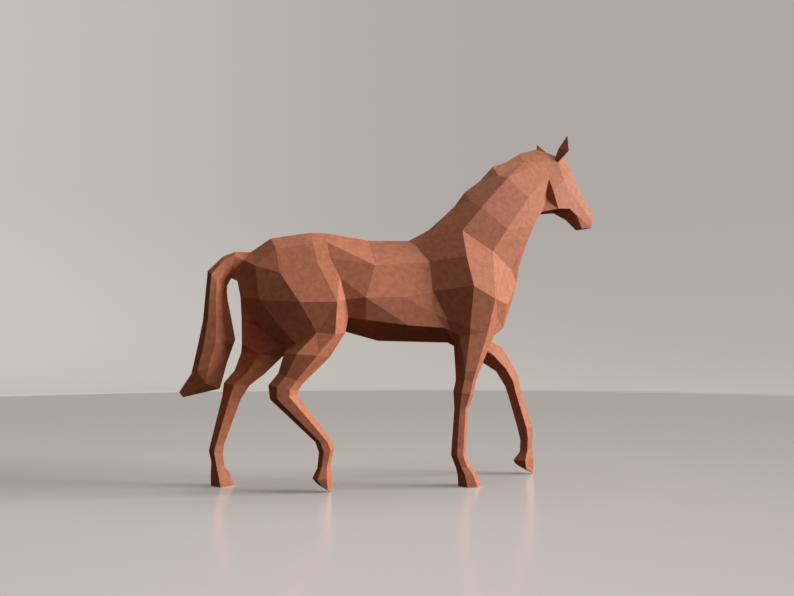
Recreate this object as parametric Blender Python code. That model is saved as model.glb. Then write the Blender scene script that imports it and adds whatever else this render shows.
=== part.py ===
"""A walking horse of folded card, in flat facets.

One closed skin makes the whole horse. It is drawn in parts of about
half a millimetre, 988 of them from the floor to the ear tip.
Every point is (forward, outward, up) in parts. The left side mirrors
the right, except where the stride and one ear move it.
"""
import bpy
import bmesh
from math import radians, sin, cos
from mathutils import Vector, geometry

# driving sizes
HEIGHT = 0.50               # floor to ear tips, metres
NECK_TURN = radians(10)     # the neck leans round to the horse's left
HEAD_TURN = radians(8)      # and the head turns a little more
NECK_PIVOT = 180.0          # forward place of the neck's turning line
POLL_PIVOT = 480.0          # forward place of the head's turning line
NECK_LENGTH = 400.0         # the turn grows over this length of neck
NEAR, FAR = -1, 1           # horse's right is -Y, horse's left is +Y
FLAT_ROUNDS = 600           # rounds of easing that make the facets flat
HOLD = Vector((0.12, 0.05, 0.12))   # pull of a corner back to where it is drawn
ALONG = 0.15                # how freely a corner slides along or up the horse
SOLE_TOP = 1.0              # corners lower than this stay on the floor

# fold lines of the body, from the back down or from the rear forward
LINES = {
    "spine": ((-375, 0, 588), (-325, 0, 624), (-249, 0, 642),
              (-221, 0, 642), (-181, 0, 645), (-73, 0, 631),
              (37, 0, 634)),
    "crest": ((95, 0, 668), (133, 0, 709), (172, 0, 737),
              (198, 0, 781), (249, 0, 818), (291, 0, 867),
              (337, 0, 885), (387, 0, 920), (446, 0, 941)),
    "mane": ((140, 40, 680), (204, 27, 751), (296, 20, 833),
             (390, 20, 888), (466, 16, 923)),
    "upper": ((166, 60, 657), (224, 64, 727), (313, 43, 822),
              (457, 23, 899)),
    "middle": ((250, 72, 604), (294, 86, 668), (373, 58, 769),
               (462, 31, 843)),
    "throat": ((460, 22, 788), (435, 16, 741), (403, 16, 697),
               (380, 18, 645), (354, 22, 582), (345, 24, 613)),
    "pipe": ((430, 0, 744), (406, 0, 698), (386, 0, 645), (362, 0, 582)),
    "buttock": ((-362, 38, 546), (-350, 55, 461), (-300, 74, 395),
                (-261, 82, 353)),
    "hip": ((-313, 43, 592), (-303, 73, 528), (-256, 103, 452),
            (-213, 99, 380)),
    "thigh": ((-221, 45, 611), (-211, 73, 556), (-166, 109, 454),
              (-170, 103, 376)),
    "flank": ((-185, 32, 616), (-180, 58, 572), (-157, 79, 519),
              (-145, 87, 463), (-135, 86, 420), (-143, 81, 381)),
    "rib": ((-68, 86, 553), (-95, 103, 467), (-93, 91, 413)),
    "side": ((4, 100, 473), (16, 86, 401)),
    "girth": ((57, 31, 615), (77, 70, 570), (80, 87, 490),
              (83, 86, 435), (113, 81, 397)),
    "blade": ((169, 92, 580), (180, 104, 503), (175, 96, 396),
              (176, 93, 379)),
    "elbow": ((118, 91, 419), (129, 76, 390), (151, 83, 378),
              (144, 56, 364)),
    "breast": ((249, 81, 565), (241, 94, 472), (225, 90, 387),
               (263, 68, 427), (259, 60, 382)),
    "chest": ((330, 22, 566), (291, 45, 463), (294, 31, 404)),
    "keel": ((350, 0, 530), (332, 0, 465), (306, 0, 405), (262, 0, 372)),
    "belly": ((157, 0, 363), (-44, 0, 366), (-130, 0, 388)),
    "arm": ((160, 28, 366), (240, 28, 374)),
    "rear": ((-397, 10, 473), (-342, 28, 393), (-283, 45, 352)),
    "root": ((-389, 8, 564), (-405, 0, 512)),
    "groin": ((-300, 18, 385), (-150, 35, 385), (-335, 0, 405)),
}

# fold lines of the head, before it is turned
HEAD = {
    "poll": ((488, 0, 937),),
    "cheek": ((463, 44, 801), (484, 42, 756), (540, 36, 765),
              (576, 27, 752), (605, 20, 742), (612, 9, 717)),
    "face": ((504, 30, 903), (515, 37, 845), (534, 34, 824),
             (580, 26, 799), (624, 20, 763), (655, 15, 740)),
    "nose": ((546, 12, 919), (571, 16, 888), (606, 12, 837),
             (651, 10, 787), (670, 9, 771), (656, 11, 725)),
    "jaw": ((595, 0, 715), (562, 0, 739), (502, 0, 757)),
    "ear": ((497, 21, 915), (526, 14, 924), (506, 28, 945),
            (526, 50, 935), (535, 22, 948), (531, 42, 988)),
}

# points of the left side that the stride and the laid-back ear move
STRIDE = {
    "buttock2": (-352, 78, 412), "buttock3": (-368, 84, 356),
    "hip3": (-292, 98, 362), "thigh3": (-215, 102, 370),
    "rear1": (-393, 30, 420), "rear2": (-391, 50, 357),
    "groin0": (-318, 20, 385), "groin1": (-160, 32, 386),
    "elbow3": (190, 56, 366), "arm0": (205, 28, 368),
    "ear2": (484, 44, 940), "ear3": (522, 50, 952),
    "ear4": (512, 24, 948), "ear5": (500, 55, 984),
}

# facets of one side, each by its corners
FACETS = """
spine0 spine1 hip0 buttock0
buttock0 hip0 hip1
buttock0 hip1 buttock1
hip1 hip2 buttock1
buttock1 hip2 buttock2
buttock2 hip2 hip3 buttock3
spine1 spine2 spine3 thigh0 hip0
hip0 thigh0 thigh1 thigh2 hip2 hip1
hip2 thigh2 hip3
thigh2 thigh3 hip3
spine3 spine4 flank0 thigh0
thigh0 flank0 flank1 thigh1
thigh1 flank1 flank2 thigh2
thigh2 flank2 flank3
thigh2 flank3 flank4 flank5 thigh3
spine4 spine5 rib0 flank0
spine5 spine6 girth0 girth1 rib0
flank0 rib0 flank1
flank1 rib0 rib1 flank2
rib0 girth1 girth2 side0 rib1
side0 girth2 girth3
rib1 side0 girth3 side1
side1 girth3 girth4
rib1 side1 rib2
flank2 rib1 flank3
flank3 rib1 rib2 flank4
flank4 rib2 belly1
flank4 belly1 belly2
flank4 belly2 flank5
rib2 side1 belly1
side1 girth4 belly0 belly1
spine6 crest0 girth0
crest0 crest1 mane0 girth0
girth0 mane0 upper0 blade0 girth1
girth1 blade0 blade1 girth2
girth2 blade1 blade2 elbow0
elbow0 blade2 blade3 elbow2 elbow1
girth2 elbow0 girth3
elbow0 elbow1 girth4 girth3
upper0 middle0 breast0 blade0
blade0 breast0 breast1 blade1
blade1 breast1 breast2 blade2
blade2 breast2 blade3
middle0 chest0 chest1 breast1 breast0
breast1 chest1 chest2 breast3
breast3 chest2 breast4
breast1 breast3 breast4 breast2
throat4 pipe3 keel0
throat4 keel0 chest0
chest0 keel0 chest1
chest1 keel0 keel1
chest1 keel1 keel2 chest2
chest2 keel2 keel3 breast4
throat1 pipe1 pipe0
throat1 throat2 pipe1
throat2 pipe2 pipe1
throat2 throat3 pipe2
throat3 pipe3 pipe2
throat3 throat4 pipe3
middle0 middle1 throat5 chest0
middle1 middle2 throat2
middle2 throat0 throat1 throat2
middle1 throat2 throat3 throat5
throat5 throat3 throat4 chest0
upper0 upper1 middle1 middle0
upper1 upper2 middle1
upper2 middle2 middle1
upper2 upper3 middle3 middle2
middle2 middle3 throat0
mane0 mane1 upper1 upper0
mane1 mane2 upper2 upper1
mane2 mane3 upper2
mane3 upper3 upper2
mane3 mane4 upper3
crest1 crest2 mane1 mane0
crest2 crest3 mane1
crest3 crest4 mane2 mane1
crest4 crest5 mane2
crest5 crest6 mane3 mane2
crest6 crest7 mane3
crest7 crest8 mane4 mane3
crest8 poll0 mane4
mane4 poll0 ear0
mane4 ear0 face0 upper3
poll0 ear1 ear0
face0 ear1 nose0
ear0 ear1 ear4
ear0 ear4 ear2
ear1 face0 ear4
face0 ear3 ear4
face0 ear0 ear3
ear0 ear2 ear3
ear2 ear4 ear5
ear4 ear3 ear5
ear3 ear2 ear5
upper3 face0 face1 middle3
middle3 face1 cheek0
cheek0 face1 face2 cheek2 cheek1
cheek2 face2 face3 cheek3
cheek3 face3 face4 cheek4
face0 nose0 nose1 face1
face1 nose1 nose2 face2
face2 nose2 nose3 face3
face3 nose3 nose4 face4
face4 nose4 face5
nose4 nose5 face5
face4 face5 nose5 cheek4
cheek4 nose5 cheek5
middle3 cheek0 throat0
cheek0 cheek1 throat0
cheek1 throat1 throat0
cheek1 jaw2 throat1
jaw2 pipe0 throat1
cheek1 cheek2 jaw2
cheek2 jaw1 jaw2
cheek2 cheek3 jaw1
cheek3 cheek5 jaw0 jaw1
cheek3 cheek4 cheek5
cheek5 nose5 jaw0
spine0 buttock0 root0
root0 buttock0 buttock1 rear0
root0 rear0 root1
buttock1 buttock2 rear1 rear0
buttock2 buttock3 rear2 rear1
root1 rear0 groin2
rear0 rear1 groin2
rear1 rear2 groin0
rear1 groin0 groin2
groin2 groin0 belly2
groin0 groin1 belly2
groin1 flank5 belly2
girth4 elbow1 elbow3
girth4 elbow3 belly0
elbow3 arm0 belly0
elbow1 elbow2 elbow3
arm0 arm1 keel3 belly0
arm1 breast4 keel3
"""

# facets that run straight across from side to side
ACROSS = (("poll0", "ear1", "nose0"), ("nose0", "nose1"),
          ("nose1", "nose2"), ("nose2", "nose3"), ("nose3", "nose4"),
          ("nose4", "nose5"), ("nose5", "jaw0"))

# where each limb leaves the body, from its rear round by the outside
HIND_LOOP = ("rear2", "buttock3", "hip3", "thigh3", "flank5",
             "groin1", "groin0")
FORE_LOOP = ("elbow3", "elbow2", "blade3", "breast2", "breast4",
             "arm1", "arm0")

# limb rings from the top down: rear edge (forward, up), front edge, width
# the pair before them is how far out the limb's middle is, high and low
LIMBS = {
    "right hind": (NEAR, (73, 55), HIND_LOOP, (
        (-290, 330, -179, 322, 76), (-301, 283, -242, 258, 56),
        (-324, 255, -253, 240, 46), (-320, 221, -256, 231, 42),
        (-210, 118, -170, 121, 30), (-201, 93, -163, 104, 36),
        (-204, 57, -172, 66, 30), (-217, 31, -168, 36, 44),
        (-202, 19, -169, 0, 46))),
    "left hind": (FAR, (76, 76), HIND_LOOP, (
        (-393, 335, -285, 326, 72), (-408, 289, -332, 279, 54),
        (-434, 257, -369, 250, 44), (-436, 225, -390, 214, 38),
        (-463, 97, -428, 102, 30), (-465, 87, -430, 76, 34),
        (-458, 59, -426, 48, 32), (-458, 27, -413, 34, 42),
        (-457, 0, -398, 0, 50))),
    "right fore": (NEAR, (65, 65), FORE_LOOP, (
        (145, 285, 212, 290, 56), (146, 265, 201, 262, 48),
        (139, 236, 194, 227, 44), (141, 194, 178, 193, 30),
        (132, 91, 171, 90, 30), (131, 77, 171, 73, 34),
        (143, 47, 181, 48, 32), (148, 29, 194, 36, 42),
        (149, 0, 211, 0, 50))),
    "left fore": (FAR, (60, 60), FORE_LOOP, (
        (262, 312, 327, 354, 54), (308, 286, 360, 300, 46),
        (334, 244, 375, 273, 42), (343, 219, 380, 239, 34),
        (369, 126, 415, 131, 30), (377, 92, 415, 109, 32),
        (375, 61, 412, 70, 32), (353, 38, 415, 41, 42),
        (362, 28, 413, 0, 44))),
}
LIMB_TOP = 330.0     # the height at which a limb's middle is at its high place
OUTER_REAR = 0.26    # share along a limb ring of the outer rear fold
OUTER_FRONT = 0.70   # of the outer front fold
INNER_RIDGE = 0.42   # and of the single fold on the inner side

# tail rings from the root: rear edge (forward, up), front edge, width
TAIL = ((-412, 587, -421, 519, 42), (-441, 574, -431, 499, 48),
        (-476, 535, -428, 480, 54), (-481, 449, -425, 461, 60),
        (-484, 411, -415, 414, 62), (-495, 347, -404, 366, 60),
        (-507, 283, -422, 310, 54))
TAIL_END = ((-533, 0, 237), (-470, 22, 259), (-438, 0, 245))
TAIL_TIP = (-523, 0, 225)


def spin(point, pivot, angle):
    """Turn a point about the upright line through (pivot, 0)."""
    ahead = point.x - pivot
    x = pivot + ahead * cos(angle) - point.y * sin(angle)
    y = ahead * sin(angle) + point.y * cos(angle)
    return Vector((x, y, point.z))


def neck_share(point):
    """How far up the neck a point lies, from 0 at its root to 1."""
    reach = 0.363 * (point.x - 37) + 0.932 * (point.z - 634)
    return max(0.0, min(1.0, reach / NECK_LENGTH))


def turned(point, head):
    """Put the turn of the neck and head on a point."""
    if head:
        point = spin(point, POLL_PIVOT, HEAD_TURN)
        return spin(point, NECK_PIVOT, NECK_TURN)
    return spin(point, NECK_PIVOT, NECK_TURN * neck_share(point))


class Skin:
    """Collects corners and facets, and joins corners that coincide."""

    def __init__(self):
        self.corners = []
        self.index = {}
        self.facets = []

    def corner(self, point):
        key = tuple(round(c, 3) for c in point)
        if key not in self.index:
            self.index[key] = len(self.corners)
            self.corners.append(Vector(point))
        return self.index[key]

    def facet(self, points):
        self.facets.append([self.corner(p) for p in points])

    def sleeve(self, low, high):
        """Join two closed loops that run the same way round."""
        if len(low) == len(high):
            for k in range(len(low)):
                n = (k + 1) % len(low)
                self.facet((low[k], low[n], high[n], high[k]))
            return
        i = j = 0
        while i < len(low) or j < len(high):
            a, b = low[i % len(low)], high[j % len(high)]
            if (i + 1) * len(high) <= (j + 1) * len(low):
                self.facet((a, low[(i + 1) % len(low)], b))
                i += 1
            else:
                self.facet((a, high[(j + 1) % len(high)], b))
                j += 1


def body_points():
    """Every named point, for both sides, with the turn put on."""
    points = {}
    for table, head in ((LINES, False), (HEAD, True)):
        for line, rows in table.items():
            for number, (x, out, z) in enumerate(rows):
                name = f"{line}{number}"
                for side in (NEAR, FAR):
                    if side == FAR and name in STRIDE:
                        x, out, z = STRIDE[name]
                    flat = Vector((x, side * out, z))
                    points[name, side] = turned(flat, head)
    return points


def limb_ring(row, centres, side):
    """Five corners of a limb, from the rear round by the outside."""
    rear = Vector((row[0], 0, row[1]))
    front = Vector((row[2], 0, row[3]))
    half = row[4] / 2
    height = min(1.0, (rear.z + front.z) / 2 / LIMB_TOP)
    centre = centres[1] + (centres[0] - centres[1]) * height
    places = ((0, 0), (OUTER_REAR, 1), (OUTER_FRONT, 1), (1, 0),
              (INNER_RIDGE, -1))
    ring = []
    for share, way in places:
        point = rear.lerp(front, share)
        point.y = side * (centre + way * half)
        ring.append(point)
    return ring


def tail_ring(row):
    """Six corners of the tail, from its rear edge round by the right."""
    rear = Vector((row[0], 0, row[1]))
    front = Vector((row[2], 0, row[3]))
    ring = []
    for share, way in ((0, 0), (0.2, -1), (0.5, -1),
                       (1, 0), (0.5, 1), (0.2, 1)):
        point = rear.lerp(front, share)
        point.y = way * row[4] / 2
        ring.append(point)
    return ring


def add_limb(skin, points, side, centres, loop, rows):
    """Run a limb down from its loop on the body to a closed sole."""
    last = [points[name, side] for name in loop]
    for row in rows:
        ring = limb_ring(row, centres, side)
        skin.sleeve(last, ring)
        last = ring
    skin.facet(last)


def add_tail(skin, points):
    """Run the tail back and down from the dock to its slanted end."""
    last = [points["spine0", NEAR], points["root0", NEAR],
            points["root1", NEAR], points["root0", FAR]]
    for row in TAIL:
        ring = tail_ring(row)
        skin.sleeve(last, ring)
        last = ring
    rear, ridge, front = [Vector(p) for p in TAIL_END]
    ring = [rear, Vector((ridge.x, -ridge.y, ridge.z)), front, ridge]
    skin.sleeve(last, ring)
    tip = Vector(TAIL_TIP)
    for k in range(4):
        skin.facet((ring[k], ring[(k + 1) % 4], tip))


def build_skin():
    skin = Skin()
    points = body_points()
    for side in (NEAR, FAR):
        for line in FACETS.strip().splitlines():
            skin.facet([points[name, side] for name in line.split()])
    for names in ACROSS:
        near = [points[n, NEAR] for n in names]
        far = [points[n, FAR] for n in reversed(names)]
        loop = []
        for p in near + far:
            if all((p - q).length > 0.01 for q in loop):
                loop.append(p)
        skin.facet(loop)
    for side, centres, loop, rows in LIMBS.values():
        add_limb(skin, points, side, centres, loop, rows)
    add_tail(skin, points)
    return skin


def flatten(skin):
    """Ease the corners, outward rather than along, till facets are flat."""
    drawn = [point.copy() for point in skin.corners]
    stands = [point.z < SOLE_TOP for point in drawn]
    for _ in range(FLAT_ROUNDS):
        pulls = [(p - q) * HOLD for p, q in zip(drawn, skin.corners)]
        tally = [HOLD.copy() for _ in drawn]
        for facet in skin.facets:
            if len(facet) == 3:
                continue
            corners = [skin.corners[k] for k in facet]
            middle = sum(corners, Vector()) / len(corners)
            normal = geometry.normal(corners)
            slide = Vector((normal.x * ALONG, normal.y, normal.z * ALONG))
            slide /= slide.dot(normal)
            for k in facet:
                pulls[k] -= slide * (skin.corners[k] - middle).dot(normal)
                tally[k] += Vector((1, 1, 1))
        for k, pull in enumerate(pulls):
            if not stands[k]:
                share = [pull[n] / tally[k][n] for n in range(3)]
                skin.corners[k] += Vector(share)


def card_material():
    card = bpy.data.materials.new("card")
    card.use_nodes = True
    shader = card.node_tree.nodes["Principled BSDF"]
    shader.inputs["Base Color"].default_value = (0.42, 0.14, 0.07, 1)
    shader.inputs["Roughness"].default_value = 0.8
    return card


def make_horse():
    skin = build_skin()
    flatten(skin)
    low = [min(p[k] for p in skin.corners) for k in range(3)]
    high = [max(p[k] for p in skin.corners) for k in range(3)]
    scale = HEIGHT / (high[2] - low[2])
    shift = Vector(((low[0] + high[0]) / 2, (low[1] + high[1]) / 2, low[2]))
    mesh = bpy.data.meshes.new("horse")
    corners = [(p - shift) * scale for p in skin.corners]
    mesh.from_pydata(corners, [], skin.facets)
    work = bmesh.new()
    work.from_mesh(mesh)
    bmesh.ops.triangulate(work, faces=work.faces)
    bmesh.ops.recalc_face_normals(work, faces=work.faces)
    work.to_mesh(mesh)
    work.free()
    mesh.materials.append(card_material())
    horse = bpy.data.objects.new("horse", mesh)
    bpy.context.scene.collection.objects.link(horse)
    return horse


for old in list(bpy.data.objects):
    bpy.data.objects.remove(old, do_unlink=True)
make_horse()
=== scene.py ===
"""A walking horse of folded card, finished and set in a plain studio.

The file is laid out as an add-on and is run as a script. The solid horse
comes from the frame, in metres. One operator folds the card skin over it,
with its glued seams, and the other sets the stage.
"""
import heapq
from math import ceil, cos, inf, radians, sin, tan

import bmesh
import bpy
import numpy as np
from bpy.props import FloatProperty, FloatVectorProperty, IntProperty, PointerProperty
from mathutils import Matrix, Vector, geometry


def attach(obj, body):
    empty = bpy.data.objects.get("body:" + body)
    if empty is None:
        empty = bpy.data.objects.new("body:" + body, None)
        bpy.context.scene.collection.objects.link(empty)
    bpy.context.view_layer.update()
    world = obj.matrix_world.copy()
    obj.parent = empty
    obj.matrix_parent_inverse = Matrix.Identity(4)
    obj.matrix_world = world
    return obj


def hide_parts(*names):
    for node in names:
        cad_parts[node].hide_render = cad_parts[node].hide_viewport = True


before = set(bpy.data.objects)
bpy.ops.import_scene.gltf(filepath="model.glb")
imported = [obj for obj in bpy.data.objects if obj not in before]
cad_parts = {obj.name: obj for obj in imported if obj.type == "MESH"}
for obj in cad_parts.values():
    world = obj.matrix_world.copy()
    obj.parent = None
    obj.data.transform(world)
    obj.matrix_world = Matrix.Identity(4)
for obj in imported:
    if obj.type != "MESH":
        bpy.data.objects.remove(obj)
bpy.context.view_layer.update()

bl_info = {
    "name": "Folded card horse",
    "version": (1, 0, 0),
    "blender": (4, 5, 0),
    "location": "View3D > Sidebar > Card horse",
    "description": "Folds a faceted horse from matte card and lights it",
    "category": "Object",
}

CREASE = 1                # material place of a rounded fold while the skin is made
SAME_CORNER = 0.00002     # corners of the solid this close are one, in metres
CORNER_ROOM = 1.2         # share of its rounded neighbours kept clear on a fold
ROW_RISE = 0.866          # from one row of an even net to the next, in steps
EASING_SHARE = 0.9        # share of its way that a point moves in one round
SEAM_SHARE = 0.98         # share of half a fold that the gap of a seam takes
WAVE_SEED = 3.7           # picks the pattern in which the card bows
LEAST_FACES = 1000        # a skin with fewer has failed

# the lesser lamps: how far each is turned from ahead of the horse to its
# right, its height and its spread, in degrees
TOP_LAMP = (0, 80, 50)
SIDE_LAMP = (90, 10, 60)
BACK_LAMP = (-85, 15, 24)

# where the card sheets are glued to each other: each seam runs along the
# folds through the corners nearest to these places, in metres
SEAMS = {
    "back": ((-0.190, 0, 0.299), (0.018, 0, 0.321), (0.070, 0, 0.373),
             (0.220, 0.044, 0.478)),
    "belly": ((0.132, 0, 0.188), (-0.066, 0, 0.197), (-0.170, 0, 0.205)),
    "breast": ((0.132, 0, 0.188), (0.168, 0, 0.236), (0.177, 0, 0.268),
               (0.215, 0.043, 0.377)),
    "neck right": ((0.018, 0, 0.321), (0.082, -0.034, 0.333),
                   (0.126, -0.034, 0.306), (0.166, -0.010, 0.286),
                   (0.177, 0, 0.268)),
    "neck left": ((0.018, 0, 0.321), (0.082, 0.034, 0.333),
                  (0.126, 0.034, 0.306), (0.166, 0.010, 0.286),
                  (0.177, 0, 0.268)),
}


class CardShape(bpy.types.PropertyGroup):
    """Sizes of the card, its folds and its facets."""

    crease: FloatProperty(
        name="Crease", description="Width of a rounded fold, from facet to facet",
        default=0.0007, min=0.0001, max=0.003, unit="LENGTH")
    crease_steps: IntProperty(
        name="Crease steps", description="Faces across a fold", default=2, min=1, max=4)
    fold_angle: FloatProperty(
        name="Fold angle", description="Bends weaker than this are one sprung facet",
        default=radians(2.5), subtype="ANGLE")
    fold_step: FloatProperty(
        name="Fold step", description="Longest mesh edge along a fold",
        default=0.007, min=0.002, max=0.03, unit="LENGTH")
    facet_step: FloatProperty(
        name="Facet step", description="Spacing of the mesh inside a facet",
        default=0.006, min=0.002, max=0.03, unit="LENGTH")
    easing: IntProperty(
        name="Easing", description="Rounds of easing that spread a bend over its facet",
        default=300, min=0, max=2000)
    spring: FloatProperty(
        name="Spring", description="How far the card bows out of a facet's plane",
        default=0.00022, min=0.0, max=0.002, unit="LENGTH")
    spring_reach: FloatProperty(
        name="Spring reach",
        description="Distance from a fold at which a facet is free to bow",
        default=0.012, min=0.001, max=0.05, unit="LENGTH")
    spring_size: FloatProperty(
        name="Spring size", description="Length of one slow wave in the card",
        default=0.045, min=0.005, max=0.2, unit="LENGTH")
    seam_depth: FloatProperty(
        name="Seam depth", description="How deep the gap of a glued seam is",
        default=0.00022, min=0.0, max=0.001, unit="LENGTH")


class CardLook(bpy.types.PropertyGroup):
    """Colours and finish of the card."""

    colour: FloatVectorProperty(
        name="Card", description="Main colour of the card",
        default=(0.52, 0.144, 0.063), subtype="COLOR", min=0, max=1)
    # the pale colour also paints the folds: partly wear, partly a painted highlight
    pale: FloatVectorProperty(
        name="Pale fibre", description="Colour of the palest fibres and worn folds",
        default=(0.66, 0.214, 0.105), subtype="COLOR", min=0, max=1)
    # the deep colour also paints the shade inside the seam gaps
    deep: FloatVectorProperty(
        name="Deep fibre", description="Colour of the darkest fibres",
        default=(0.37, 0.084, 0.033), subtype="COLOR", min=0, max=1)
    roughness: FloatProperty(
        name="Roughness", description="Roughness of the bare card",
        default=0.78, min=0, max=1, subtype="FACTOR")
    sheen: FloatProperty(
        name="Sheen", description="Strength of the broad sheen on the card",
        default=0.8, min=0, max=1, subtype="FACTOR")
    cloud_size: FloatProperty(
        name="Cloud size", description="Size of the cloudy patches in the card",
        default=0.007, unit="LENGTH")
    fibre_size: FloatProperty(
        name="Fibre size", description="Size of the fibre grain",
        default=0.0013, unit="LENGTH")


class StagePlan(bpy.types.PropertyGroup):
    """Camera, floor and lights."""

    eye: FloatVectorProperty(
        name="Eye", description="Where the camera stands",
        default=(-0.2088, -0.7809, 0.1520), subtype="TRANSLATION")
    turn: FloatProperty(
        name="Turn",
        description="Camera direction, turned from straight across the horse",
        default=radians(13.0), subtype="ANGLE")
    tilt: FloatProperty(
        name="Tilt", description="How far the camera looks up",
        default=radians(6.466), subtype="ANGLE")
    lens: FloatProperty(
        name="Lens", description="Focal length in millimetres", default=27.2)
    floor: FloatVectorProperty(
        name="Floor", description="Colour of the floor and the wall round it",
        default=(0.56, 0.52, 0.49), subtype="COLOR", min=0, max=1)
    key_turn: FloatProperty(
        name="Key turn",
        description="Main light, turned from ahead of the horse to its right",
        default=radians(15), subtype="ANGLE")
    key_rise: FloatProperty(
        name="Key rise", description="Height of the main light as an angle",
        default=radians(18), subtype="ANGLE")
    key_spread: FloatProperty(
        name="Key spread", description="How wide the main light is seen from the horse",
        default=radians(24), subtype="ANGLE")
    key_power: FloatProperty(
        name="Key", description="Strength of the main light", default=4.25)
    top_power: FloatProperty(
        name="Top", description="Strength of the broad light from above", default=1.25)
    side_power: FloatProperty(
        name="Side", description="Strength of the weak light from the camera's side",
        default=0.34)
    back_power: FloatProperty(
        name="Back",
        description="Strength of the light on the side the camera doesn't see",
        default=1.3)
    glow: FloatProperty(
        name="Glow", description="Strength of the even light all round", default=0.02)
    floor_glow: FloatProperty(
        name="Floor glow", description="Light that keeps the floor pale", default=0.30)
    wall_glow: FloatProperty(
        name="Wall glow", description="Light that keeps the wall pale", default=0.75)


class Wire:
    """A node socket that can be added, multiplied and so on."""

    def __init__(self, bench, socket):
        self.bench = bench
        self.socket = socket

    def math(self, operation, *values):
        return self.bench.add("ShaderNodeMath", {"operation": operation},
                              dict(enumerate(values)))

    def __add__(self, other):
        return self.math("ADD", self, other)

    def __sub__(self, other):
        return self.math("SUBTRACT", self, other)

    def __rsub__(self, other):
        return self.math("SUBTRACT", other, self)

    def __mul__(self, other):
        return self.math("MULTIPLY", self, other)

    def __truediv__(self, other):
        return self.math("DIVIDE", self, other)

    def __rtruediv__(self, other):
        return self.math("DIVIDE", other, self)

    __radd__ = __add__
    __rmul__ = __mul__

    def smooth(self, low, high):
        """Ease from 0 at low to 1 at high."""
        return self.bench.add(
            "ShaderNodeMapRange", {"interpolation_type": "SMOOTHSTEP"},
            {"Value": self, "From Min": low, "From Max": high})


class Bench:
    """Adds nodes to one tree, with their settings set before their sockets."""

    def __init__(self, tree):
        self.tree = tree

    def add(self, kind, settings=None, sockets=None, out=0):
        node = self.tree.nodes.new(kind)
        for name, value in (settings or {}).items():
            setattr(node, name, value)
        for key, value in (sockets or {}).items():
            self.feed(node.inputs[key], value)
        if not node.outputs:
            return node
        return Wire(self, node.outputs[out])

    def feed(self, socket, value):
        if isinstance(value, Wire):
            self.tree.links.new(value.socket, socket)
        else:
            socket.default_value = value

    def mix(self, share, low, high):
        """Mix two colours. The node's colour sockets have no names of their own."""
        return self.add("ShaderNodeMix", {"data_type": "RGBA"},
                        {0: share, 6: low, 7: high}, out=2)


def opaque(colour):
    """A colour with the full alpha that a colour socket asks for."""
    return (*colour, 1.0)


def card_material(look):
    """Matte coloured card: cloudy pulp and fine fibre. The folds are a little paler,
    partly from wear and partly as a painted highlight. The seam gaps are darker with
    painted shade.
    """
    card = bpy.data.materials.new("folded card")
    card.use_nodes = True
    bench = Bench(card.node_tree)
    shader = card.node_tree.nodes["Principled BSDF"]
    place = bench.add("ShaderNodeTexCoord", out="Object")

    def noise(size, detail, rough, stretch=None):
        where = place
        if stretch:
            where = bench.add("ShaderNodeMapping", {},
                              {"Vector": place, "Scale": stretch})
        return bench.add("ShaderNodeTexNoise", {}, {
            "Vector": where, "Scale": 1 / size, "Detail": detail, "Roughness": rough})

    cloud = noise(look.cloud_size, detail=3.0, rough=0.55).smooth(0.3, 0.7)
    fibre = noise(look.fibre_size, detail=4.0, rough=0.7,
                  stretch=(1.0, 1.0, 0.45)).smooth(0.28, 0.72)
    fleck_size = look.fibre_size * 1.7
    fleck = noise(fleck_size, detail=2.0, rough=0.6,
                  stretch=(0.5, 1.0, 1.0)).smooth(0.66, 0.8)
    worn = bench.add("ShaderNodeAttribute", {"attribute_name": "worn"}, out="Fac")
    seam = bench.add("ShaderNodeAttribute", {"attribute_name": "seam"}, out="Fac")

    deep, pale = opaque(look.deep), opaque(look.pale)
    pulp_share, fleck_share, gap_shade_share = 0.62, 0.28, 0.6
    pulp = bench.mix(cloud * 0.6 + fibre * 0.5, deep, pale)
    body = bench.mix(pulp_share, opaque(look.colour), pulp)
    flecked = bench.mix(fleck * fleck_share, body, deep)
    # every fold is painted paler: partly worn card, partly a painted highlight along
    # the crease
    fold_highlight_and_wear = bench.mix(worn * (fibre * 0.3 + 0.6), flecked, pale)
    # the seam gaps take the deep colour: painted shade in the gap
    seam_gap_shaded = bench.mix(seam * gap_shade_share, fold_highlight_and_wear, deep)
    bench.feed(shader.inputs["Base Color"], seam_gap_shaded)
    shader.inputs["Specular IOR Level"].default_value = look.sheen

    # fibres change the roughness by a tenth, and a worn fold is smoother
    smoothest = look.roughness - 0.05
    bench.feed(shader.inputs["Roughness"], fibre * 0.1 + smoothest - worn * 0.1)
    bump = bench.add("ShaderNodeBump", {}, {
        "Strength": 0.35, "Distance": 0.00012, "Height": fibre + cloud * 0.5})
    bench.feed(shader.inputs["Normal"], bump)
    return card


def new_tree(name, sockets):
    """A Geometry Nodes tree with named inputs, its bench and its inputs."""
    tree = bpy.data.node_groups.new(name, "GeometryNodeTree")
    face = tree.interface
    face.new_socket("Geometry", in_out="OUTPUT", socket_type="NodeSocketGeometry")
    face.new_socket("Geometry", in_out="INPUT", socket_type="NodeSocketGeometry")
    for title, kind in sockets:
        face.new_socket(title, in_out="INPUT", socket_type="NodeSocket" + kind)
    bench = Bench(tree)
    entry = tree.nodes.new("NodeGroupInput")
    inputs = {s.name: Wire(bench, s) for s in entry.outputs if s.name}
    return tree, bench, inputs


def run_tree(mesh, name, tree, values):
    """Run a tree over a mesh and return its result as a plain mesh."""
    carrier = bpy.data.objects.new(name, mesh)
    bpy.context.scene.collection.objects.link(carrier)
    modifier = carrier.modifiers.new(name, "NODES")
    modifier.node_group = tree
    for item in tree.interface.items_tree:
        if item.in_out == "INPUT" and item.name in values:
            modifier[item.identifier] = values[item.name]
    carrier.update_tag()
    bpy.context.view_layer.update()
    ready = carrier.evaluated_get(bpy.context.evaluated_depsgraph_get())
    made = bpy.data.meshes.new_from_object(ready)
    carrier.modifiers.remove(modifier)
    bpy.data.objects.remove(carrier)
    made.name = name
    return made


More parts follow.
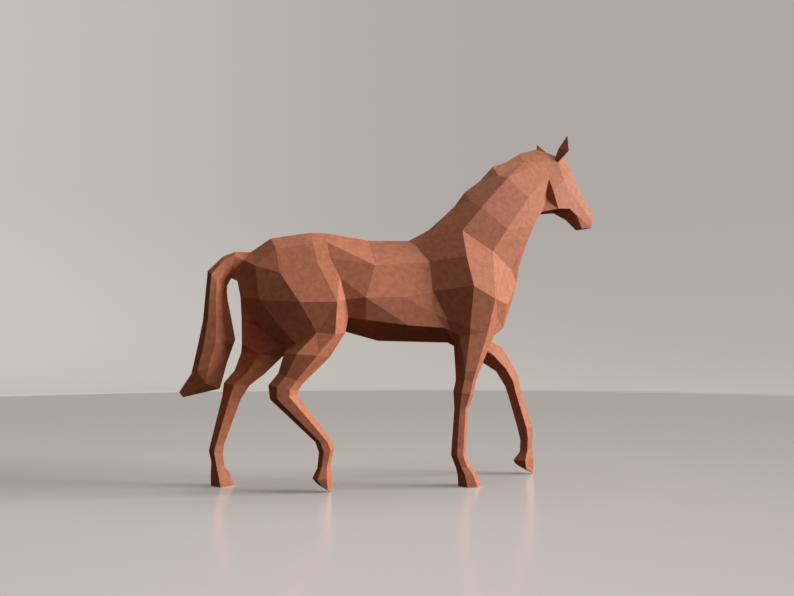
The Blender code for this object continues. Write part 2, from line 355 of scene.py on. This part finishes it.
def spring_tree():
    """Bow each facet a little, stiff at its folds. Mark the folds for wear and painted
    highlight, and the seams for painted shade.
    """
    tree, bench, given = new_tree("card spring", (
        ("Folds", "Object"), ("Seams", "Object"), ("Spring", "Float"),
        ("Reach", "Float"), ("Wave", "Float"), ("Wear", "Float"),
        ("Gap", "Float"), ("Card", "Material")))

    def distance_to(lines):
        shape = bench.add("GeometryNodeObjectInfo", {"transform_space": "RELATIVE"},
                          {"Object": lines}, out="Geometry")
        return bench.add("GeometryNodeProximity", {"target_element": "EDGES"},
                         {"Geometry": shape}, out="Distance")

    from_fold = distance_to(given["Folds"])
    from_seam = distance_to(given["Seams"])
    # the seam gap is pushed in here, and the card paints it darker as painted shade
    gap = from_seam.smooth(given["Wear"] * SEAM_SHARE, 0.0)
    free = from_fold.smooth(0.0, given["Reach"])
    # a band along every fold that the card paints paler: partly wear, partly painted
    # highlight
    worn = from_fold.smooth(given["Wear"], 0.0)
    place = bench.add("GeometryNodeInputPosition")
    wave = bench.add("ShaderNodeTexNoise", {"noise_dimensions": "4D"}, {
        "Vector": place, "W": WAVE_SEED, "Scale": 1.0 / given["Wave"],
        "Detail": 1.0, "Roughness": 0.4})
    lift = (wave - 0.5) * 2.0 * free * given["Spring"] - gap * given["Gap"]
    out_way = bench.add("GeometryNodeInputNormal")
    offset = bench.add("ShaderNodeVectorMath", {"operation": "SCALE"},
                       {0: out_way, "Scale": lift})
    moved = bench.add("GeometryNodeSetPosition", {},
                      {"Geometry": given["Geometry"], "Offset": offset})
    store = "GeometryNodeStoreNamedAttribute"
    marked = bench.add(store, {"data_type": "FLOAT"},
                       {"Geometry": moved, "Name": "worn", "Value": worn})
    glued = bench.add(store, {"data_type": "FLOAT"},
                      {"Geometry": marked, "Name": "seam", "Value": gap})
    real = bench.add("GeometryNodeRealizeInstances", {}, {"Geometry": glued})
    dressed = bench.add("GeometryNodeSetMaterial", {},
                        {"Geometry": real, "Material": given["Card"]})
    bench.add("NodeGroupOutput", {}, {0: dressed})
    return tree


def facets_of(node, fold_angle):
    """The solid as whole facets: its triangles joined, weak bends dissolved."""
    work = bmesh.new()
    work.from_mesh(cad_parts[node].data)
    bmesh.ops.remove_doubles(work, verts=work.verts, dist=SAME_CORNER)
    bmesh.ops.recalc_face_normals(work, faces=work.faces)
    weak = [e for e in work.edges
            if len(e.link_faces) == 2 and e.calc_face_angle() < fold_angle]
    bmesh.ops.dissolve_edges(work, edges=weak, use_verts=False)
    work.verts.index_update()
    return work


def as_lines(name, points, pairs):
    """Loose edges on an object, for the tree to measure from."""
    lines = bpy.data.meshes.new(name)
    lines.from_pydata(points, pairs, [])
    ruler = bpy.data.objects.new(name, lines)
    bpy.context.scene.collection.objects.link(ruler)
    return ruler


def trail(work, start, end):
    """The shortest way along the folds from one corner to another."""
    cost, came, queue = {start: 0.0}, {}, [(0.0, start.index, start)]
    while queue:
        far, _, corner = heapq.heappop(queue)
        if corner == end:
            break
        for edge in corner.link_edges:
            other = edge.other_vert(corner)
            reach = far + edge.calc_length()
            if reach < cost.get(other, inf):
                cost[other] = reach
                came[other] = corner
                heapq.heappush(queue, (reach, other.index, other))
    pairs = []
    while end != start:
        pairs.append((end.index, came[end].index))
        end = came[end]
    return pairs


def seam_pairs(work):
    """Every stretch of fold that is a glued seam."""
    def nearest(place):
        return min(work.verts, key=lambda v: (v.co - Vector(place)).length)

    pairs = set()
    for places in SEAMS.values():
        stops = [nearest(place) for place in places]
        for start, end in zip(stops, stops[1:]):
            pairs.update(trail(work, start, end))
    return list(pairs)


def clear_end(edge, corner, width):
    """Length at one end of a fold that its rounded neighbours take up."""
    longest = 0.0
    for loop in corner.link_loops:
        if edge in (loop.edge, loop.link_loop_prev.edge):
            longest = max(longest, width / 2 / tan(loop.calc_angle() / 2))
    return longest * CORNER_ROOM + width


def divide_folds(work, width, step):
    """Put even points along every fold, clear of its ends."""
    plans = []
    for edge in work.edges:
        ends = [clear_end(edge, corner, width) for corner in edge.verts]
        room = edge.calc_length() - sum(ends)
        if room > step / 2:
            plans.append((edge, ends[0], room, ceil(room / step)))
    for edge, start, room, count in plans:
        here, last = edge.verts
        length, done = edge.calc_length(), 0.0
        for k in range(count + 1):
            stop = start + room * k / count
            new, point = bmesh.utils.edge_split(
                edge, here, (stop - done) / (length - done))
            if last in new.verts:
                edge = new
            here, done = point, stop


def round_creases(work, width, steps):
    """Round every fold. The new faces take the CREASE material place."""
    bmesh.ops.bevel(
        work, geom=list(work.edges), offset=width / 2, offset_type="OFFSET",
        segments=steps, profile=0.5, affect="EDGES", clamp_overlap=True,
        material=CREASE, miter_outer="SHARP", miter_inner="SHARP")


def spots_inside(rim, step):
    """A staggered grid of places inside a flat outline, clear of its edge."""
    low, high = rim.min(0), rim.max(0)
    rows = np.arange(low[1] + step / 2, high[1], step * ROW_RISE)
    spots = []
    for row, y in enumerate(rows):
        first = low[0] + step * (0.25 + 0.5 * (row % 2))
        spots += [(x, y) for x in np.arange(first, high[0], step)]
    if not spots:
        return []
    spots = np.array(spots)
    side = np.roll(rim, -1, 0) - rim
    gap = spots[:, None] - rim[None]
    share = np.clip((gap * side).sum(2) / (side * side).sum(1), 0, 1)
    near = np.linalg.norm(gap - share[..., None] * side, axis=2).min(1)
    # a place is inside when a line from it to the right crosses an odd number
    # of sides; a level side is never crossed, so any rise but 0 will do there
    level = spots[:, None, 1]
    rise = np.where(side[:, 1] == 0, 1.0, side[:, 1])
    meets = rim[:, 0] + side[:, 0] * (level - rim[:, 1]) / rise
    above, below = rim[:, 1] > level, np.roll(rim, -1, 0)[:, 1] > level
    crossed = ((above != below) & (spots[:, None, 0] < meets)).sum(1)
    return spots[(crossed % 2 == 1) & (near > step / 2)]


def facet_net(face, step):
    """New places inside a facet, and its triangles over rim and places."""
    rim = [v.co for v in face.verts]
    middle, normal = face.calc_center_median(), face.normal
    across = rim[1] - rim[0]
    across = (across - normal * across.dot(normal)).normalized()
    up = normal.cross(across)
    flat = np.array([((p - middle).dot(across), (p - middle).dot(up)) for p in rim])
    spots = spots_inside(flat, step)
    every = [Vector(p) for p in flat] + [Vector(p) for p in spots]
    inside_only, same_place = 1, 1e-8
    points, _, triangles, sources, _, _ = geometry.delaunay_2d_cdt(
        every, [], [list(range(len(rim)))], inside_only, same_place)
    if len(points) != len(every):
        raise RuntimeError("a facet's outline crosses itself")
    faces = [[sources[k][0] for k in triangle] for triangle in triangles]
    return [middle + across * x + up * y for x, y in spots], faces


def fill_facets(work, step):
    """A mesh with an even net in each facet, and the creases as they are."""
    work.verts.index_update()
    points = [v.co.copy() for v in work.verts]
    faces, kinds = [], []
    for face in work.faces:
        rim = [v.index for v in face.verts]
        if face.material_index == CREASE:
            net = [range(len(rim))]
        else:
            spots, net = facet_net(face, step)
            rim += range(len(points), len(points) + len(spots))
            points += spots
        faces += [[rim[k] for k in corners] for corners in net]
        kinds += [face.material_index] * len(net)
    mesh = bpy.data.meshes.new("card skin")
    mesh.from_pydata(points, [], faces)
    mesh.polygons.foreach_set("material_index", kinds)
    return mesh


def ease_facets(mesh, rounds):
    """Spread the bends inside each facet evenly over it, its folds held."""
    count = len(mesh.vertices)
    places = np.empty(count * 3)
    mesh.vertices.foreach_get("co", places)
    places = places.reshape(-1, 3)
    ends = np.empty(len(mesh.edges) * 2, int)
    mesh.edges.foreach_get("vertices", ends)
    ends = ends.reshape(-1, 2)
    held = np.zeros(count, bool)
    for face in mesh.polygons:
        if face.material_index == CREASE:
            held[list(face.vertices)] = True
    normals = np.array([v.normal for v in mesh.vertices])
    free = ~held
    here = np.concatenate((ends[:, 0], ends[:, 1]))
    there = np.concatenate((ends[:, 1], ends[:, 0]))
    tally = np.bincount(here, minlength=count)
    for _ in range(rounds):
        total = [np.bincount(here, places[there, k], count) for k in range(3)]
        pull = np.stack(total, 1) / tally[:, None] - places
        along = (pull * normals).sum(1, keepdims=True)
        places[free] += (normals * along)[free] * EASING_SHARE
    mesh.vertices.foreach_set("co", places.ravel())


def sharpen_borders(mesh):
    """Smooth inside facets and creases, with a hard line between the two."""
    mesh.polygons.foreach_set("use_smooth", [True] * len(mesh.polygons))
    kinds = {}
    for face in mesh.polygons:
        for key in face.edge_keys:
            kinds.setdefault(key, set()).add(face.material_index)
    for edge in mesh.edges:
        edge.use_edge_sharp = len(kinds.get(edge.key, ())) > 1


def show_piece(mesh, name, node):
    """Put the finished piece in the scene in place of its node."""
    piece = bpy.data.objects.new(name, mesh)
    bpy.context.scene.collection.objects.link(piece)
    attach(piece, "root")
    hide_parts(node)


class HORSE_OT_card_skin(bpy.types.Operator):
    """Fold the card skin of the whole horse over its solid"""

    bl_idname = "horse.card_skin"
    bl_label = "Fold the card skin"

    def execute(self, context):
        shape = context.scene.card_shape
        card = card_material(context.scene.card_look)
        work = facets_of("horse", shape.fold_angle)
        corners = [v.co.copy() for v in work.verts]
        folds = as_lines("folds", corners,
                         [[v.index for v in e.verts] for e in work.edges])
        seams = as_lines("seams", corners, seam_pairs(work))
        divide_folds(work, shape.crease, shape.fold_step)
        round_creases(work, shape.crease, shape.crease_steps)
        mesh = fill_facets(work, shape.facet_step)
        work.free()
        ease_facets(mesh, shape.easing)
        sharpen_borders(mesh)
        skin = run_tree(mesh, "horse_skin", spring_tree(), {
            "Folds": folds, "Seams": seams, "Spring": shape.spring,
            "Reach": shape.spring_reach, "Wave": shape.spring_size,
            "Wear": shape.crease / 2, "Gap": shape.seam_depth, "Card": card})
        for ruler in (folds, seams):
            bpy.data.objects.remove(ruler)
        if len(skin.polygons) < LEAST_FACES:
            raise RuntimeError("the card skin came out empty")
        show_piece(skin, "horse_skin", "horse")
        return {"FINISHED"}


def direction(turn, rise):
    """A unit vector from ahead (+X), turned towards the horse's right and raised."""
    return Vector((cos(rise) * cos(turn), -cos(rise) * sin(turn), sin(rise)))


def soft_light(name, turn, rise, spread, power, colour, onto, mirrored=True):
    """A soft light from far off in the given direction, onto one group only."""
    light = bpy.data.lights.new(name, "SUN")
    light.angle = spread
    light.energy = power
    light.color = colour
    lamp = bpy.data.objects.new(name, light)
    lamp.rotation_euler = direction(turn, rise).to_track_quat("Z", "Y").to_euler()
    bpy.context.scene.collection.objects.link(lamp)
    lamp.light_linking.receiver_collection = onto
    lamp.visible_glossy = mirrored


def lit_group(name, member):
    """A group of one object, for lights to shine on."""
    group = bpy.data.collections.new(name)
    group.objects.link(member)
    return group


def plain_paint(name, colour, share, roughness, glow):
    """A plain colour: this share of it takes the lights, and it glows by itself."""
    paint = bpy.data.materials.new(name)
    paint.use_nodes = True
    shader = paint.node_tree.nodes["Principled BSDF"]
    shader.inputs["Base Color"].default_value = opaque(Vector(colour) * share)
    shader.inputs["Roughness"].default_value = roughness
    shader.inputs["Emission Color"].default_value = opaque(colour)
    shader.inputs["Emission Strength"].default_value = glow
    return paint


def studio_bowl(colour, floor_glow, wall_glow):
    """A smooth round floor that curves up into a matte wall all round."""
    reach, radius, height, steps, sides = 3.0, 1.5, 6.0, 16, 96
    bends = [radians(90) * k / steps for k in range(steps + 1)]
    profile = [(reach + radius * sin(a), radius - radius * cos(a)) for a in bends]
    profile.append((reach + radius, height))
    turns = [radians(360) * k / sides for k in range(sides)]
    verts = [(far * cos(t), far * sin(t), z) for far, z in profile for t in turns]
    faces = [range(sides)]
    for low in range(0, len(verts) - sides, sides):
        for k in range(sides):
            after = (k + 1) % sides
            faces.append((low + k, low + after, low + after + sides, low + k + sides))
    mesh = bpy.data.meshes.new("bowl")
    mesh.from_pydata(verts, [], faces)
    mesh.materials.append(plain_paint(
        "plain floor", colour, share=1.0, roughness=0.2, glow=floor_glow))
    mesh.materials.append(plain_paint(
        "plain wall", colour, share=0.25, roughness=1.0, glow=wall_glow))
    # the first face is the floor, and the others are the curve and the wall
    for face in mesh.polygons:
        face.use_smooth = face.index > 0
        face.material_index = min(face.index, 1)
    bowl = bpy.data.objects.new("bowl", mesh)
    bpy.context.scene.collection.objects.link(bowl)
    # the camera sees the bowl, and it neither lights nor shades the horse
    bowl.visible_diffuse = bowl.visible_glossy = bowl.visible_shadow = False
    return bowl


class HORSE_OT_stage(bpy.types.Operator):
    """Set the floor, the soft lights and the camera"""

    bl_idname = "horse.stage"
    bl_label = "Set the stage"

    def execute(self, context):
        plan = context.scene.stage_plan
        scene = context.scene
        bowl = studio_bowl(plan.floor, plan.floor_glow, plan.wall_glow)
        studio = lit_group("studio", bowl)
        horse = lit_group("horse", bpy.data.objects["horse_skin"])
        key = (plan.key_turn, plan.key_rise, plan.key_spread)
        top, side, back = ([radians(angle) for angle in lamp]
                           for lamp in (TOP_LAMP, SIDE_LAMP, BACK_LAMP))
        white, warm, even = (0.96, 1.0, 0.95), (1.0, 0.88, 0.76), (1.0, 1.0, 1.0)
        soft_light("key", *key, plan.key_power, white, horse)
        soft_light("top", *top, plan.top_power, white, horse)
        soft_light("side", *side, plan.side_power, warm, horse)
        soft_light("back", *back, plan.back_power, warm, horse)
        # the floor has two lights of its own, which leave no highlight on it
        soft_light("floor key", *key, plan.key_power, even, studio, mirrored=False)
        soft_light("floor top", *top, plan.top_power, even, studio, mirrored=False)
        world = bpy.data.worlds.new("even light")
        world.use_nodes = True
        sky = world.node_tree.nodes["Background"]
        sky.inputs["Color"].default_value = opaque((1.0, 0.84, 0.70))
        sky.inputs["Strength"].default_value = plan.glow
        scene.world = world
        camera = bpy.data.objects.new("camera", bpy.data.cameras.new("camera"))
        camera.data.lens = plan.lens
        camera.data.sensor_width = 36.0
        camera.location = plan.eye
        look = Vector((sin(plan.turn) * cos(plan.tilt), cos(plan.turn) * cos(plan.tilt),
                       sin(plan.tilt)))
        camera.rotation_euler = (-look).to_track_quat("Z", "Y").to_euler()
        scene.collection.objects.link(camera)
        scene.camera = camera
        scene.view_settings.view_transform = "Standard"
        return {"FINISHED"}


class HORSE_PT_panel(bpy.types.Panel):
    """Sizes, colours and the steps that make the horse"""

    bl_label = "Card horse"
    bl_idname = "HORSE_PT_panel"
    bl_space_type = "VIEW_3D"
    bl_region_type = "UI"
    bl_category = "Card horse"

    def draw(self, context):
        for operator in OPERATORS:
            self.layout.operator(operator.bl_idname)
        for group in (context.scene.card_shape, context.scene.card_look,
                      context.scene.stage_plan):
            box = self.layout.box()
            for name in group.__annotations__:
                box.prop(group, name)


GROUPS = {"card_shape": CardShape, "card_look": CardLook, "stage_plan": StagePlan}
OPERATORS = (HORSE_OT_card_skin, HORSE_OT_stage)


def register():
    for group in GROUPS.values():
        bpy.utils.register_class(group)
    for name, group in GROUPS.items():
        setattr(bpy.types.Scene, name, PointerProperty(type=group))
    for operator in OPERATORS:
        bpy.utils.register_class(operator)
    bpy.utils.register_class(HORSE_PT_panel)


def unregister():
    bpy.utils.unregister_class(HORSE_PT_panel)
    for operator in reversed(OPERATORS):
        bpy.utils.unregister_class(operator)
    for name in GROUPS:
        delattr(bpy.types.Scene, name)
    for group in reversed(GROUPS.values()):
        bpy.utils.unregister_class(group)


def main():
    register()
    bpy.ops.horse.card_skin()
    bpy.ops.horse.stage()


if __name__ == "__main__":
    main()
